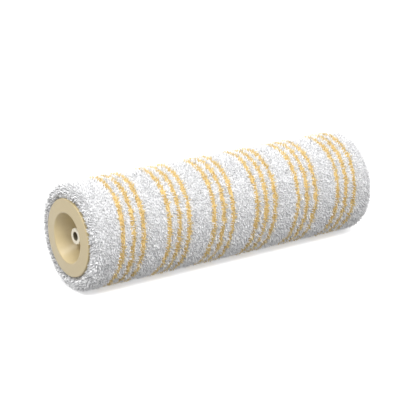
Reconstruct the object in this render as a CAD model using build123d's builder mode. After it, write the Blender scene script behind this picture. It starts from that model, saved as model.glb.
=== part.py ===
from build123d import *
import os

# Paint roller refill: a striped pile sleeve on a core tube, closed by two moulded end caps that turn on a
# fixed axle tube. Millimetres. The origin is the centre of the roller on its axle axis, +X runs along the
# axle to the far end, and +Z is up. Each section is drawn in the XY plane, with Y as the radius, and is
# revolved about X.

# --- driving dimensions ---------------------------------------------------------------------------------
roller_length = 250.0  # over the faces of both end caps
roller_diameter = 76.5  # over the pile

core_diameter = 48.0
core_wall = 1.8
backing_thickness = 1.0
pile_root_height = 1.0  # tight white ground loops below the stripes
pile_crest_inset = 0.8  # the pile's end crest, in from the cap's face
pile_crest_share = 0.36  # where the crest stands, from the flange's edge to the barrel
pile_end_round = 5.2  # from the crest along the axle to where the barrel starts

stripe_groups = 6
stripes_per_group = 3
group_pitch = 38.1
stripe_pitch = 8.3
stripe_width = 3.3
pattern_shift = 2.1  # the pattern's centre from the roller's centre
stripe_lean_top = 4.0  # how far the top of a ring leads its centre, because the fabric lies askew
stripe_lean_side = 1.0  # the same at the +Y side

flange_overlap = 2.9  # how far the flange reaches out over the pile's roots
flange_thickness = 3.0
flange_edge_round = 0.6
face_fall = 0.5  # the cap's face slopes back this far from the recess's mouth to the flange's edge
plug_depth = 16.0  # how far the cap reaches into the core, behind its flange
plug_wall = 1.8

rim_width = 9.8  # the cap's face, from the recess's mouth to the flange's edge
recess_depth = 17.0
recess_floor_gap = 2.2  # between the axle tube and the corner of the recess
recess_edge_round = 0.8
recess_floor_round = 2.0
funnel_wall = 2.1  # measured square to the axle
bearing_boss_wall = 3.2
bearing_length = 12.0

rib_count = 6
rib_thickness = 1.6
rib_height = 12.0  # from the back of the flange

wire_bore_diameter = 6.2  # takes a 6 mm frame wire
axle_tube_wall = 2.8
axle_tube_recess = 6.7  # from the cap's face down to the tube's end
axle_end_round = 0.5
axle_running_clearance = 0.08  # radial, between the tube and the caps
collar_wall = 3.0
collar_thickness = 4.0
collar_end_play = 0.4

# --- worked out from them -------------------------------------------------------------------------------
half_length = roller_length / 2
roller_radius = roller_diameter / 2
core_radius = core_diameter / 2
core_bore_radius = core_radius - core_wall
core_half_length = half_length - flange_thickness
backing_radius = core_radius + backing_thickness
pile_root_radius = backing_radius + pile_root_height
flange_radius = backing_radius + flange_overlap
crest_radius = flange_radius + pile_crest_share * (roller_radius - flange_radius)
crest_half_length = half_length - pile_crest_inset
axle_tube_radius = wire_bore_diameter / 2 + axle_tube_wall
mouth_radius = flange_radius - rim_width
floor_radius = axle_tube_radius + recess_floor_gap
axle_half_length = half_length - axle_tube_recess
bearing_radius = axle_tube_radius + axle_running_clearance
boss_radius = bearing_radius + bearing_boss_wall
funnel_slope = (mouth_radius - floor_radius) / recess_depth
bearing_boss_end = recess_depth + bearing_length
collar_outer_face = half_length - bearing_boss_end - collar_end_play

os.makedirs("parts", exist_ok=True)


def save(piece, name):
    """Label a finished piece and write it as its own STEP file."""
    piece.part.label = name
    export_step(piece.part, f"parts/{name}.step")


# --- core tube and backing fabric -----------------------------------------------------------------------
with BuildPart() as core_tube:
    with BuildSketch(Plane.YZ):
        Circle(core_radius)
        Circle(core_bore_radius, mode=Mode.SUBTRACT)
    extrude(amount=core_half_length, both=True)
save(core_tube, "core_tube")

with BuildPart() as backing_fabric:
    with BuildSketch(Plane.YZ):
        Circle(backing_radius)
        Circle(core_radius, mode=Mode.SUBTRACT)
    extrude(amount=core_half_length, both=True)
save(backing_fabric, "backing_fabric")

# --- pile: one white sleeve, with a groove for each gold ring -------------------------------------------
with BuildPart() as pile_blank:
    with BuildSketch(Plane.XY):
        with BuildLine():
            shoulder = crest_half_length - pile_end_round
            round_height = roller_radius - crest_radius
            Polyline(
                (crest_half_length, crest_radius),
                (core_half_length, flange_radius),
                (core_half_length, backing_radius),
                (-core_half_length, backing_radius),
                (-core_half_length, flange_radius),
                (-crest_half_length, crest_radius),
            )
            Line((-shoulder, roller_radius), (shoulder, roller_radius))
            EllipticalCenterArc((shoulder, crest_radius), pile_end_round, round_height, 0, arc_size=90)
            EllipticalCenterArc((-shoulder, crest_radius), pile_end_round, round_height, 90, arc_size=90)
        make_face()
    revolve(axis=Axis.X)

pile_above_root = pile_blank.part - Cylinder(pile_root_radius, roller_length, rotation=(0, 90, 0))
stripe_normal = Vector(roller_radius, -stripe_lean_side, -stripe_lean_top)

gold_stripes = []
for group in range(stripe_groups):
    for place in range(stripes_per_group):
        group_centre = pattern_shift + (group - (stripe_groups - 1) / 2) * group_pitch
        centre = group_centre + (place - (stripes_per_group - 1) / 2) * stripe_pitch
        with BuildPart() as gold_stripe:
            with BuildSketch(Plane(origin=(centre, 0, 0), z_dir=stripe_normal)):
                Circle(roller_diameter)
            extrude(amount=stripe_width / 2, both=True)
            add(pile_above_root, mode=Mode.INTERSECT)
        gold_stripes.append(gold_stripe)
        save(gold_stripe, f"gold_stripe_{group + 1}_{'abcdefgh'[place]}")

with BuildPart() as white_pile:
    add(pile_blank.part)
    add([stripe.part for stripe in gold_stripes], mode=Mode.SUBTRACT)
save(white_pile, "white_pile")

# --- end caps: flange, plug, funnel recess, bearing boss and ribs ---------------------------------------
near_face = Plane(origin=(-half_length, 0, 0))  # X is the depth below the cap's face, and Y the radius


def circles_of(part, radius):
    """The round edges of one radius."""
    circles = part.edges().filter_by(GeomType.CIRCLE)
    return circles.filter_by(lambda edge: abs(edge.radius - radius) < 0.01)


with BuildPart() as near_end_cap:
    with BuildSketch(near_face):
        with BuildLine():
            plug_end = flange_thickness + plug_depth
            plug_inside_radius = core_bore_radius - plug_wall
            funnel_back_radius = mouth_radius + funnel_wall - funnel_slope * flange_thickness
            boss_start = (mouth_radius + funnel_wall - boss_radius) / funnel_slope
            Polyline(
                (0, 0),
                (0, mouth_radius),
                (face_fall, flange_radius),
                (flange_thickness, flange_radius),
                (flange_thickness, core_bore_radius),
                (plug_end, core_bore_radius),
                (plug_end, plug_inside_radius),
                (flange_thickness, plug_inside_radius),
                (flange_thickness, funnel_back_radius),
                (boss_start, boss_radius),
                (bearing_boss_end, boss_radius),
                (bearing_boss_end, 0),
                close=True,
            )
        make_face()
    revolve(axis=Axis.X)
    with BuildSketch(Plane.YZ.offset(flange_thickness - half_length)):
        rib_inside = boss_radius - bearing_boss_wall / 2
        rib_outside = core_bore_radius - plug_wall / 2
        with PolarLocations((rib_inside + rib_outside) / 2, rib_count):
            Rectangle(rib_outside - rib_inside, rib_thickness)
    extrude(amount=rib_height)
    with BuildSketch(near_face) as recess_section:
        with BuildLine():
            Polyline((0, 0), (0, mouth_radius), (recess_depth, floor_radius), (recess_depth, 0), close=True)
        make_face()
        floor_corner = recess_section.vertices().sort_by_distance((recess_depth, floor_radius))[0]
        fillet(floor_corner, recess_floor_round)
    revolve(axis=Axis.X, mode=Mode.SUBTRACT)
    with BuildSketch(Plane.YZ.offset(-half_length)):
        Circle(bearing_radius)
    extrude(amount=bearing_boss_end, mode=Mode.SUBTRACT)
    fillet(circles_of(near_end_cap, flange_radius), flange_edge_round)
    fillet(circles_of(near_end_cap, mouth_radius), recess_edge_round)
save(near_end_cap, "near_end_cap")

with BuildPart() as far_end_cap:
    mirror(near_end_cap.part, about=Plane.YZ)
save(far_end_cap, "far_end_cap")

# --- axle tube and its thrust collars: these stay still on the frame's wire -----------------------------
with BuildPart() as axle_tube:
    with BuildSketch(Plane.YZ):
        Circle(axle_tube_radius)
        Circle(wire_bore_diameter / 2, mode=Mode.SUBTRACT)
    extrude(amount=axle_half_length, both=True)
    end_edges = axle_tube.edges().filter_by(GeomType.CIRCLE).group_by(Axis.X)
    fillet(end_edges[0] + end_edges[-1], axle_end_round)
save(axle_tube, "axle_tube")

with BuildPart() as near_thrust_collar:
    with BuildSketch(Plane.YZ.offset(-collar_outer_face)):
        Circle(axle_tube_radius + collar_wall)
        Circle(axle_tube_radius, mode=Mode.SUBTRACT)
    extrude(amount=collar_thickness)
save(near_thrust_collar, "near_thrust_collar")

with BuildPart() as far_thrust_collar:
    mirror(near_thrust_collar.part, about=Plane.YZ)
save(far_thrust_collar, "far_thrust_collar")
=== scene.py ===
# %% [markdown]
# # A striped paint roller sleeve
# We dress a finished mechanical model: a roller sleeve with a core tube, two moulded end caps and an axle
# tube. The model comes in as a fixed frame of named nodes, and this lesson gives it what a CAD program
# can't: a deep nap of yarn, and plastics that catch the light. Everything is in metres, +X runs along the
# axle and +Z is up.

# %% Load the frame
import math

import bmesh
import bpy
import numpy as np
from mathutils import Matrix, Vector, noise


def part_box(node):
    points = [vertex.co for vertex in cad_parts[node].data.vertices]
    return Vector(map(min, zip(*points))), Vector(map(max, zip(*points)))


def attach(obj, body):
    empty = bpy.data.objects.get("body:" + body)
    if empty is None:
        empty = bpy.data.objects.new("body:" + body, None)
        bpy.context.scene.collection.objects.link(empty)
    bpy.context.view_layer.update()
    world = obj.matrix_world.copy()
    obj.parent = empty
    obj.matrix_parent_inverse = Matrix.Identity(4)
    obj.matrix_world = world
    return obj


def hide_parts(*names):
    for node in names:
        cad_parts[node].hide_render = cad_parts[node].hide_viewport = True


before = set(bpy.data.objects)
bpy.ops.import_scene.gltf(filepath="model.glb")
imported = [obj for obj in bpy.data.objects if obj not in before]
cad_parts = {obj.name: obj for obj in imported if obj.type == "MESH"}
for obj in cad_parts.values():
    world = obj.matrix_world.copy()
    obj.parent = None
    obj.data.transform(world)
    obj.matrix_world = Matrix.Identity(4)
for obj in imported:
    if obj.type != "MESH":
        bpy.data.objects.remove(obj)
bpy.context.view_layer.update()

scene = bpy.context.scene
mm = 0.001

# %% [markdown]
# ## Measure what the nap has to fit
# The nap must sit exactly where the mechanical model puts it, so its sizes are read from the frame. The
# pile's box gives its length and radius, and the caps and the axle tube give the rest. A gold ring isn't
# square to the axle: the fabric lies slightly askew on its core. A least-squares plane through a ring's own
# points gives its centre and its lean, which is safer than copying numbers from another file.

# %% Read the sizes
def points_of(node):
    """The points of a CAD node as an array, one row each."""
    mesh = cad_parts[node].data
    points = np.empty(len(mesh.vertices) * 3)
    mesh.vertices.foreach_get("co", points)
    return points.reshape(-1, 3)


pile_points = points_of("white_pile")
pile_radii = np.hypot(pile_points[:, 1], pile_points[:, 2])
pile_radius = float(pile_radii.max())
crest_x = float(pile_points[:, 0].max())
crest_radius = float(pile_radii[pile_points[:, 0] > crest_x - 0.01 * mm].mean())
shoulder = float(pile_points[pile_radii > pile_radius - 0.01 * mm, 0].max())
lip_x = float(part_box("backing_fabric")[1].x)
backing_radius = float(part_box("backing_fabric")[1].z)
lip_radius = float(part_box("near_end_cap")[1].z)
print("pile radius", round(pile_radius / mm, 2), "crest radius", round(crest_radius / mm, 2), "mm")
print("crest at", round(crest_x / mm, 2), "lip at", round(lip_x / mm, 2), "mm")

# %% Find each gold ring's centre, lean and width
stripe_names = sorted(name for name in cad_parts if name.startswith("gold_stripe"))


def ring_of(name):
    """A ring's centre along the axle, its leans with height and with depth, and its half width."""
    points = points_of(name)
    sides = np.c_[np.ones(len(points)), points[:, 2], points[:, 1]]
    found, *_ = np.linalg.lstsq(sides, points[:, 0], rcond=None)
    offsets = points[:, 0] - sides @ found
    middle = (offsets.max() + offsets.min()) / 2
    return found[0] + middle, found[1], found[2], (offsets.max() - offsets.min()) / 2


rings = {name: ring_of(name) for name in stripe_names}
lean_up = float(np.mean([ring[1] for ring in rings.values()]))
lean_back = float(np.mean([ring[2] for ring in rings.values()]))
half_stripe = float(np.mean([ring[3] for ring in rings.values()]))
ring_centres = np.array([rings[name][0] for name in stripe_names])
print("rings", len(rings), "lean", round(lean_up, 4), round(lean_back, 4))
print("half width", round(half_stripe / mm, 2), "mm")

# %% [markdown]
# ## The camera
# A long lens a metre away keeps the far end almost as large as the near one, as a catalogue picture does.
# The direction is given as two angles, and the camera is then slid a few millimetres across its own view to
# frame the roller.

# %% Place the camera
view_turn = math.radians(35.19)
view_drop = math.radians(17.70)
view_distance = 1.0269
slide_right, slide_up = 6.4 * mm, -1.14 * mm
level = math.cos(view_drop)
looking = Vector((math.sin(view_turn) * level, math.cos(view_turn) * level, -math.sin(view_drop)))
to_right = looking.cross(Vector((0, 0, 1))).normalized()
to_top = to_right.cross(looking)

camera_data = bpy.data.cameras.new("catalogue_camera")
camera_data.sensor_width = 36
camera_data.lens = 121.4
camera = bpy.data.objects.new("catalogue_camera", camera_data)
camera.location = -looking * view_distance - to_right * slide_right - to_top * slide_up
camera.rotation_mode = "QUATERNION"
camera.rotation_quaternion = looking.to_track_quat("-Z", "Y")
scene.collection.objects.link(camera)
scene.camera = camera
print("camera at", tuple(round(value, 3) for value in camera.location))

# %% [markdown]
# ## Floor and light
# A white thing on white needs its form from the light alone. The world is a dome that is bright overhead and
# fades below the horizon, as in a studio with a light ceiling. Its brightest point is tilted to the front, so
# that the face towards the camera gets more of it than the back does. Two soft area lights add direction: a key
# from the front, and a weaker fill over the near end. The floor is near white, so that it melts into the
# background. It shows to the camera but sends no light back up, because its diffuse visibility is off, so the
# underside of the roller can fall into shade.

# %% Floor
floor_drop = 0.6 * mm  # below the pile, which the tips of a few tufts reach past
floor_bm = bmesh.new()
bmesh.ops.create_circle(floor_bm, cap_ends=True, segments=96, radius=4.0)
bmesh.ops.translate(floor_bm, verts=floor_bm.verts, vec=(0, 0, -pile_radius - floor_drop))
floor_mesh = bpy.data.meshes.new("floor")
floor_bm.to_mesh(floor_mesh)
floor_bm.free()
floor = bpy.data.objects.new("floor", floor_mesh)
floor.visible_diffuse = False
scene.collection.objects.link(floor)
floor_material = bpy.data.materials.new("floor_white")
floor_material.use_nodes = True
floor_shader = floor_material.node_tree.nodes["Principled BSDF"]
floor_shader.inputs["Base Color"].default_value = (0.92, 0.92, 0.92, 1)
floor_shader.inputs["Roughness"].default_value = 0.9
floor_shader.inputs["Emission Color"].default_value = (1, 1, 1, 1)
floor_shader.inputs["Emission Strength"].default_value = 0.45
floor_mesh.materials.append(floor_material)
print("floor at", round((-pile_radius - floor_drop) / mm, 2), "mm")

# %% The dome: a world that is bright above and dim below
brightest = Vector((0, -0.40, 0.92)).normalized()
world = bpy.data.worlds.new("studio")
world.use_nodes = True
world_nodes, world_link = world.node_tree.nodes, world.node_tree.links.new
direction = world_nodes.new("ShaderNodeTexCoord")
uphill = world_nodes.new("ShaderNodeVectorMath")
uphill.operation = "DOT_PRODUCT"
uphill.inputs[1].default_value = brightest
dome = world_nodes.new("ShaderNodeMapRange")
dome.inputs["From Min"].default_value = -1
dome.inputs["To Min"].default_value = 0.28
dome.inputs["To Max"].default_value = 0.88
world_link(direction.outputs["Generated"], uphill.inputs[0])
world_link(uphill.outputs["Value"], dome.inputs["Value"])
background = world_nodes["Background"]
world_link(dome.outputs["Result"], background.inputs["Strength"])
backdrop = world_nodes.new("ShaderNodeBackground")
backdrop.inputs["Color"].default_value = (1, 1, 1, 1)
background.inputs["Color"].default_value = (1, 1, 1, 1)
seen = world_nodes.new("ShaderNodeLightPath")
either = world_nodes.new("ShaderNodeMixShader")
world_link(seen.outputs["Is Camera Ray"], either.inputs["Fac"])
world_link(background.outputs["Background"], either.inputs[1])
world_link(backdrop.outputs["Background"], either.inputs[2])
world_link(either.outputs["Shader"], world_nodes["World Output"].inputs["Surface"])
scene.world = world
print("dome brightest towards", tuple(round(value, 2) for value in brightest))


# %% Two soft lights
def soft_light(name, place, aim, width, watts):
    """A square area light that faces a point."""
    data = bpy.data.lights.new(name, "AREA")
    data.shape = "SQUARE"
    data.size = width
    data.energy = watts
    light = bpy.data.objects.new(name, data)
    light.location = place
    light.rotation_mode = "QUATERNION"
    light.rotation_quaternion = (Vector(aim) - Vector(place)).to_track_quat("-Z", "Y")
    scene.collection.objects.link(light)


soft_light("key", (-0.25, -0.98, 1.10), (0, 0, 0), 0.6, 20.5)
soft_light("fill", (-0.75, -0.05, 1.10), (-0.10, 0, 0), 0.5, 5.6)
scene.view_settings.view_transform = "Standard"
scene.view_settings.look = "None"

# %% [markdown]
# ## Materials
# Each material is a small chain of nodes that reads Object coordinates, so its grain has a real size and
# stays put on the part. Yarn gets a fine change of tone from clump to clump, and shade painted darker
# towards its roots. Moulded plastic gets a faint sparkle of surface texture and slow changes of gloss.

# %% A helper that starts a material
def new_material(name, roughness):
    """A material and a function that adds a node to it."""
    material = bpy.data.materials.new(name)
    material.use_nodes = True
    shader = material.node_tree.nodes["Principled BSDF"]
    shader.inputs["Roughness"].default_value = roughness
    coordinates = material.node_tree.nodes.new("ShaderNodeTexCoord")

    def add(kind, **values):
        node = material.node_tree.nodes.new(kind)
        for key, value in values.items():
            if key in node.inputs:
                node.inputs[key].default_value = value
            else:
                setattr(node, key, value)
        return node

    return material, shader, coordinates.outputs["Object"], add, material.node_tree.links.new


# %% Yarn: tone changes from clump to clump, with shade painted darker towards the root
def yarn(name, dark, light, root):
    """Yarn with a slow change of tone, and shade painted darker towards the root. The points' own "height" is 0
    at the root and 1 at the tip.
    """
    material, shader, place, add, link = new_material(name, 0.85)
    clumps = add("ShaderNodeTexNoise", Scale=650.0, Detail=2.0, Roughness=0.6)
    tones = add("ShaderNodeValToRGB")
    tones.color_ramp.elements[0].position, tones.color_ramp.elements[0].color = 0.38, (*dark, 1)
    tones.color_ramp.elements[1].position, tones.color_ramp.elements[1].color = 0.56, (*light, 1)
    height = add("ShaderNodeAttribute", attribute_name="height")
    depth = add("ShaderNodeMapRange")
    depth.inputs["From Min"].default_value = 0.35
    depth.inputs["From Max"].default_value = 0.9
    painted_root_shade = add("ShaderNodeMix", data_type="RGBA")
    # painted shade: the root colour darkens the lower part of each tuft, where shade falls between them
    painted_root_shade.inputs["A"].default_value = (*root, 1)
    link(place, clumps.inputs["Vector"])
    link(clumps.outputs["Fac"], tones.inputs["Fac"])
    link(height.outputs["Fac"], depth.inputs["Value"])
    link(depth.outputs["Result"], painted_root_shade.inputs["Factor"])
    link(tones.outputs["Color"], painted_root_shade.inputs["B"])
    link(painted_root_shade.outputs["Result"], shader.inputs["Base Color"])
    return material


# The third colour of each yarn is painted shade for the tufts' roots.
white_yarn = yarn("white_yarn", (0.72, 0.72, 0.73), (0.98, 0.98, 0.98), (0.52, 0.52, 0.53))
gold_yarn = yarn("gold_yarn", (0.72, 0.54, 0.24), (0.80, 0.67, 0.36), (0.58, 0.41, 0.16))
print("yarns:", white_yarn.name, gold_yarn.name)

# %% [markdown]
# ## Moulded plastic
# The caps are a satin beige moulding. A noise far finer than the eye resolves, fed to a Bump node, breaks up
# the highlight as the mould's spark-eroded skin does. A slow noise moves the roughness a little, because a
# moulding never cools evenly.

# %% Moulded plastics
def moulded(name, colour, shift, roughness, grain):
    """Satin plastic. Returns its material, and the pieces to build on: shader, coordinates, add and link."""
    material, shader, place, add, link = new_material(name, roughness)
    slow = add("ShaderNodeTexNoise", Scale=60.0, Detail=3.0)
    tone = add("ShaderNodeMix", data_type="RGBA")
    tone.inputs["A"].default_value = (*(value * shift for value in colour), 1)
    tone.inputs["B"].default_value = (*colour, 1)
    gloss = add("ShaderNodeMapRange")
    gloss.inputs["To Min"].default_value = roughness - 0.06
    gloss.inputs["To Max"].default_value = roughness + 0.06
    skin = add("ShaderNodeTexNoise", Scale=3500.0, Detail=2.0)
    bump = add("ShaderNodeBump", Strength=grain, Distance=0.05 * mm)
    link(place, slow.inputs["Vector"])
    link(place, skin.inputs["Vector"])
    link(slow.outputs["Fac"], tone.inputs["Factor"])
    link(slow.outputs["Fac"], gloss.inputs["Value"])
    link(tone.outputs["Result"], shader.inputs["Base Color"])
    link(gloss.outputs["Result"], shader.inputs["Roughness"])
    link(skin.outputs["Fac"], bump.inputs["Height"])
    link(bump.outputs["Normal"], shader.inputs["Normal"])
    return material, shader, place, add, link


cap_plastic, *_ = moulded("cap_plastic", (0.56, 0.455, 0.255), 0.95, 0.36, 0.25)
core_plastic, *_ = moulded("core_plastic", (0.45, 0.45, 0.43), 0.92, 0.60, 0.30)
tube_plastic, shader, place, add, link = moulded("tube_plastic", (0.96, 0.90, 0.74), 0.97, 0.35, 0.10)
print("plastics:", cap_plastic.name, tube_plastic.name, core_plastic.name)

# %% [markdown]
# ## Painted shade in the bore
# The axle tube is cream outside, and its bore is painted dark inside as the shade deep in a narrow tube. The
# distance from the axle tells the two apart, so the material compares its square, Y squared plus Z squared,
# with the bore's.

# %% The tube's bore, painted dark with shade
bore_ends, bore_fades = 3.15 * mm, 3.25 * mm
split = add("ShaderNodeSeparateXYZ")
squares = [add("ShaderNodeMath", operation="POWER") for _ in "yz"]
radius = add("ShaderNodeMath", operation="ADD")
in_bore_shade = add("ShaderNodeMapRange")
in_bore_shade.inputs["From Min"].default_value = bore_ends**2
in_bore_shade.inputs["From Max"].default_value = bore_fades**2
bore = add("ShaderNodeMix", data_type="RGBA")
# painted shade: a dark colour mixed in inside the bore, where shade falls deep in the tube
bore.inputs["A"].default_value = (0.22, 0.19, 0.13, 1)
link(place, split.inputs["Vector"])
for axis, square in zip("YZ", squares):
    square.inputs[1].default_value = 2
    link(split.outputs[axis], square.inputs[0])
link(squares[0].outputs["Value"], radius.inputs[0])
link(squares[1].outputs["Value"], radius.inputs[1])
link(radius.outputs["Value"], in_bore_shade.inputs["Value"])
link(in_bore_shade.outputs["Result"], bore.inputs["Factor"])
link(shader.inputs["Base Color"].links[0].from_socket, bore.inputs["B"])
link(bore.outputs["Result"], shader.inputs["Base Color"])
print("bore dull to", round(bore_ends / mm, 2), "mm from the axle")

# %% Give the mechanical nodes their materials
for node, material in (
    ("near_end_cap", cap_plastic),
    ("far_end_cap", cap_plastic),
    ("axle_tube", tube_plastic),
    ("near_thrust_collar", tube_plastic),
    ("far_thrust_collar", tube_plastic),
    ("core_tube", core_plastic),
    # the backing has no height, so it is coloured all over with the yarn's painted root shade
    ("backing_fabric", white_yarn),
):
    cad_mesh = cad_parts[node].data
    cad_mesh.materials.clear()
    cad_mesh.materials.append(material)
    print(node, material.name)

# %% [markdown]
# ## The outline of the nap
# Cut along its axle, the nap's outer face is one line. It starts behind the near cap's flange, flares to a
# crest, rounds over in a quarter of an ellipse, runs straight along the barrel, and does the same again at
# the far end. With the line as a function of the distance along it, tufts can be set at even steps over the
# ends and the barrel alike.

# %% The outline as a function
turn = np.linspace(0, math.pi / 2, 65)
near_x = np.append(-lip_x, -shoulder - (crest_x - shoulder) * np.cos(turn))
near_r = np.append(lip_radius, crest_radius + (pile_radius - crest_radius) * np.sin(turn))
line_x = np.concatenate([near_x, -near_x[::-1]])
line_r = np.concatenate([near_r, near_r[::-1]])
line_s = np.concatenate([[0], np.cumsum(np.hypot(np.diff(line_x), np.diff(line_r)))])
flank = float(np.hypot(crest_x - lip_x, crest_radius - lip_radius))


flare_x, flare_r = 0.92, 0.40  # which way the tufts on the flared ends point


def outline(along):
    """(x, radius, heading's x, heading's radius) at distances along the nap's outline."""
    step = 0.05 * mm
    x, r = np.interp(along, line_s, line_x), np.interp(along, line_s, line_r)
    ahead, behind = np.clip(along + step, 0, line_s[-1]), np.clip(along - step, 0, line_s[-1])
    out_x = np.interp(behind, line_s, line_r) - np.interp(ahead, line_s, line_r)
    out_r = np.interp(ahead, line_s, line_x) - np.interp(behind, line_s, line_x)
    flared = np.minimum(along, line_s[-1] - along) < flank
    out_x = np.where(flared, np.sign(x) * flare_x, out_x)
    out_r = np.where(flared, flare_r, out_r)
    size = np.hypot(out_x, out_r)
    return x, r, out_x / size, out_r / size


print("outline", round(line_s[-1] / mm, 1), "mm long")

# %% [markdown]
# ## Where each tuft stands
# Knitted pile has its tufts in courses. Rows of points round the roller at even steps along the outline give
# that even cover, half a step of turn between one row and the next stops them lining up, and a seeded jitter
# keeps the eye from finding rows at all.

# %% Plant the rows
random = np.random.default_rng(12)
spacing = 1.02 * mm
row_places = np.arange(spacing * 0.3, line_s[-1], spacing * 0.9)
along, angle = [], []
for row, place in enumerate(row_places):
    count = round(2 * math.pi * float(outline(np.array([place]))[1][0]) / spacing)
    steps = (np.arange(count) + row % 2 / 2) / count * 2 * math.pi
    along.append(np.full(count, place))
    angle.append(steps)
along, angle = np.concatenate(along), np.concatenate(angle)
along = np.clip(along + random.normal(0, 0.3 * spacing, len(along)), 0, line_s[-1])
root_x, root_r, normal_x, normal_r = outline(along)
angle = angle + random.normal(0, 0.3 * spacing, len(angle)) / root_r
normals = np.c_[normal_x, normal_r * np.cos(angle), normal_r * np.sin(angle)]
tips = np.c_[root_x, root_r * np.cos(angle), root_r * np.sin(angle)]
print("tufts:", len(along))

# %% [markdown]
# ## Which way each tuft leans
# A brushed nap isn't a bed of nails. Neighbours lean the same way in small swirls, and every tuft also has a
# will of its own. Perlin noise gives the swirls, because it changes smoothly over a few millimetres, and a
# random vector gives the rest. Blender's noise takes its offsets from the clock unless it is given a seed, so
# both generators are seeded, and the nap is the same each time.

# %% Lean, length and thickness
noise.seed_set(12)
swirl_size = 5 * mm
swirl_share, own_share = 0.75, 0.28
root_depth = 2.35 * mm
swirls = np.array([noise.noise_vector(Vector(tip) / swirl_size) for tip in tips])
own = random.normal(0, 1, tips.shape)
lean = swirl_share * swirls + own_share * own
lean -= normals * np.sum(lean * normals, axis=1, keepdims=True)
heading = normals + lean
heading /= np.linalg.norm(heading, axis=1, keepdims=True)
tuft_length = (3.0 * mm) * (1 + 0.13 * random.normal(0, 1, len(tips)))
tuft_width = (0.62 * mm) * (1 + 0.15 * random.normal(0, 1, len(tips)))
sunk = tips - normals * root_depth
unskewed = sunk[:, 0] - lean_up * sunk[:, 2] - lean_back * sunk[:, 1]
leans = np.degrees(np.arccos(np.sum(heading * normals, axis=1)))
print("mean lean", round(float(leans.mean()), 1), "degrees")

# %% [markdown]
# ## One tuft, in a few shapes
# A tuft is a bundle of yarn: a three-sided cone of eight faces is enough, since the nap has tens of
# thousands. It is cut once across its middle and bent there, so that it curls. A dozen bends, one for each
# direction round the clock, are enough that no two neighbours look alike.

# %% Model the tufts
tuft_shapes = bpy.data.collections.new("tuft_shapes")
bend_count = 12
for bend in range(bend_count):
    tuft_bm = bmesh.new()
    bmesh.ops.create_cone(tuft_bm, cap_ends=True, segments=3, radius1=0.5, radius2=0.16, depth=1)
    bmesh.ops.translate(tuft_bm, verts=tuft_bm.verts, vec=(0, 0, 0.5))
    whole = tuft_bm.verts[:] + tuft_bm.edges[:] + tuft_bm.faces[:]
    bmesh.ops.bisect_plane(tuft_bm, geom=whole, plane_co=(0, 0, 0.6), plane_no=(0, 0, 1))
    clock = bend / bend_count * 2 * math.pi
    height = tuft_bm.verts.layers.float.new("height")
    for vert in tuft_bm.verts:
        vert[height] = vert.co.z
        if 0.5 < vert.co.z < 0.7:
            vert.co.xy *= 1.25
        reach = 0.55 * vert.co.z**2
        vert.co += Vector((math.cos(clock) * reach, math.sin(clock) * reach, 0))
    tuft_mesh = bpy.data.meshes.new(f"tuft_{bend:02d}")
    tuft_bm.to_mesh(tuft_mesh)
    tuft_bm.free()
    tuft_shapes.objects.link(bpy.data.objects.new(f"tuft_{bend:02d}", tuft_mesh))

# %% [markdown]
# ## Geometry Nodes plants the tufts
# Instance on Points copies a shape to every point of a mesh, and it can read each copy's turn, size and
# shape from the points' own attributes. Realize Instances then makes one plain mesh. The points come from
# the arrays above, so the nap is the same each time.

# %% The planting node tree
planting = bpy.data.node_groups.new("plant_tufts", "GeometryNodeTree")
planting.interface.new_socket("Points", in_out="INPUT", socket_type="NodeSocketGeometry")
planting.interface.new_socket("Nap", in_out="OUTPUT", socket_type="NodeSocketGeometry")
entry, leave = planting.nodes.new("NodeGroupInput"), planting.nodes.new("NodeGroupOutput")
shapes = planting.nodes.new("GeometryNodeCollectionInfo")
shapes.inputs["Collection"].default_value = tuft_shapes
shapes.inputs["Separate Children"].default_value = True
instance = planting.nodes.new("GeometryNodeInstanceOnPoints")
instance.inputs["Pick Instance"].default_value = True
realize = planting.nodes.new("GeometryNodeRealizeInstances")
for attribute, kind, socket in (
    ("turn", "FLOAT_VECTOR", "Rotation"),
    ("size", "FLOAT_VECTOR", "Scale"),
    ("shape", "INT", "Instance Index"),
):
    reader = planting.nodes.new("GeometryNodeInputNamedAttribute")
    reader.data_type = kind
    reader.inputs["Name"].default_value = attribute
    planting.links.new(reader.outputs["Attribute"], instance.inputs[socket])
planting.links.new(entry.outputs["Points"], instance.inputs["Points"])
planting.links.new(shapes.outputs["Instances"], instance.inputs["Instance"])
planting.links.new(instance.outputs["Instances"], realize.inputs["Geometry"])
planting.links.new(realize.outputs["Geometry"], leave.inputs["Nap"])
print("planting nodes:", len(planting.nodes))

# %% Turn, size and shape of every tuft
tilt = np.arccos(np.clip(heading[:, 2], -1, 1))
bearing = np.arctan2(heading[:, 1], heading[:, 0])
turns = np.c_[np.zeros(len(tips)), tilt, bearing]
sizes = np.c_[tuft_width * 1.5, tuft_width * 1.5, tuft_length]
picks = random.integers(0, bend_count, len(tips))


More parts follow.
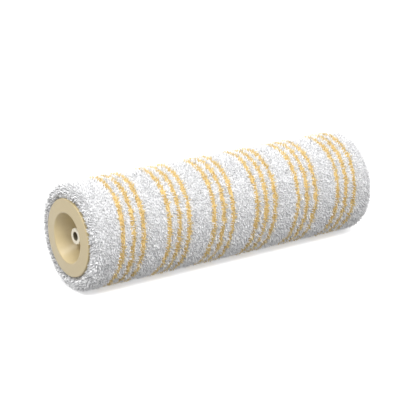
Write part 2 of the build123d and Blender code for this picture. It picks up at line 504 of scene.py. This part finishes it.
def planted(name, chosen, base_bm, material):
    """One piece of nap: the chosen tufts, standing in a base, as a plain mesh."""
    points = bpy.data.meshes.new(name + "_points")
    points.from_pydata(sunk[chosen].tolist(), [], [])
    for attribute, kind, field, values in (
        ("turn", "FLOAT_VECTOR", "vector", turns[chosen]),
        ("size", "FLOAT_VECTOR", "vector", sizes[chosen]),
        ("shape", "INT", "value", picks[chosen]),
    ):
        layer = points.attributes.new(attribute, kind, "POINT")
        layer.data.foreach_set(field, values.ravel())
    holder = bpy.data.objects.new(name + "_points", points)
    scene.collection.objects.link(holder)
    holder.modifiers.new("plant", "NODES").node_group = planting
    depsgraph = bpy.context.evaluated_depsgraph_get()
    grown = bpy.data.meshes.new_from_object(holder.evaluated_get(depsgraph))
    base_bm.from_mesh(grown)
    mesh = bpy.data.meshes.new(name)
    base_bm.to_mesh(mesh)
    base_bm.free()
    bpy.data.objects.remove(holder)
    bpy.data.meshes.remove(grown)
    mesh.materials.clear()
    mesh.materials.append(material)
    mesh.polygons.foreach_set("material_index", np.zeros(len(mesh.polygons), dtype=np.int32))
    piece = bpy.data.objects.new(name, mesh)
    scene.collection.objects.link(piece)
    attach(piece, "roller")
    return piece


# %% [markdown]
# ## The bed that the tufts stand in
# Between tufts one sees the dense lower pile. It is a sleeve just under the tips: a rectangle's section is
# drawn, spun round the axle, and closed. A ring's bed is the same, sheared so that it leans with the fabric.
# Its height value lies near the root end of the yarn, so it is coloured mostly with the painted root shade,
# a dark sheet that stands for the shade down between the tufts.

# %% Spin a bed
bed_segments = 96
# painted shade: at this height the bed takes mostly the yarn's root shade colour
bed_shade_height = 0.45
lean_with_fabric = Matrix(((1, lean_back, lean_up, 0), (0, 1, 0, 0), (0, 0, 1, 0), (0, 0, 0, 1)))


def spun(section, leaning=False):
    """A closed ring: a loop of (x, radius) points spun once round the axle."""
    bm = bmesh.new()
    loop = [bm.verts.new((x, 0, r)) for x, r in section]
    edges = [bm.edges.new((loop[i - 1], loop[i])) for i in range(len(loop))]
    geom, centre, axle = loop + edges, (0, 0, 0), (1, 0, 0)
    bmesh.ops.spin(
        bm, geom=geom, cent=centre, axis=axle, angle=2 * math.pi, steps=bed_segments, use_merge=True
    )
    if leaning:
        bmesh.ops.transform(bm, matrix=lean_with_fabric, verts=bm.verts)
    bmesh.ops.recalc_face_normals(bm, faces=bm.faces)
    height = bm.verts.layers.float.new("height")
    for vert in bm.verts:
        vert[height] = bed_shade_height
    return bm


bed_depth = 1.35 * mm
bed_radius = pile_radius - bed_depth
print("bed radius", round(bed_radius, 5))

# %% [markdown]
# ## Gold rings
# A gold ring is the same pile in a dyed yarn. The tufts whose roots lie in the ring's width belong to it, and
# a little noise on that width lets the two yarns mingle at the edge, as they do in the knitting.

# %% Sort the tufts into rings
edge_noise = random.normal(0, 0.22 * mm, len(tips))
nearest = np.argmin(np.abs(unskewed[:, None] - ring_centres[None, :]), axis=1)
in_ring = np.abs(unskewed - ring_centres[nearest]) + edge_noise < half_stripe
for index, name in enumerate(stripe_names):
    centre = ring_centres[index]
    low, high = centre - half_stripe, centre + half_stripe
    inner, outer = bed_radius - 1.5 * mm, bed_radius + 0.2 * mm
    bed = spun([(low, inner), (low, outer), (high, outer), (high, inner)], leaning=True)
    chosen = np.flatnonzero(in_ring & (nearest == index))
    ring = planted(name.replace("stripe", "ring_nap"), chosen, bed, gold_yarn)
    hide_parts(name)
print("gold tufts", int(in_ring.sum()))

# %% [markdown]
# ## White nap
# The white nap is one fabric, but as one mesh it would be too heavy to handle. It is cut where nobody looks:
# in the middle of each group of gold lines. The bed runs the whole length and comes with the first piece.

# %% White nap, in sections between the middles of the gold groups
group_size = 3
group_starts = range(0, len(ring_centres), group_size)
group_middles = [float(np.mean(ring_centres[i : i + group_size])) for i in group_starts]
section_ends = [-1.0, *group_middles, 1.0]
for index in range(len(section_ends) - 1):
    inside = (unskewed >= section_ends[index]) & (unskewed < section_ends[index + 1]) & ~in_ring
    if index == 0:
        end_steps = np.linspace(bed_depth, 16 * mm, 12)
        x, r, out_x, out_r = outline(np.concatenate([end_steps, line_s[-1] - end_steps[::-1]]))
        skin = list(zip(x - out_x * bed_depth, r - out_r * bed_depth))
        bed = spun([(skin[0][0], backing_radius), *skin, (skin[-1][0], backing_radius)])
    else:
        bed = bmesh.new()
        bed.verts.layers.float.new("height")
    nap = planted(f"white_nap_{index + 1}", np.flatnonzero(inside), bed, white_yarn)
    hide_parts("white_pile")
    print(nap.name, len(nap.data.polygons), "faces")
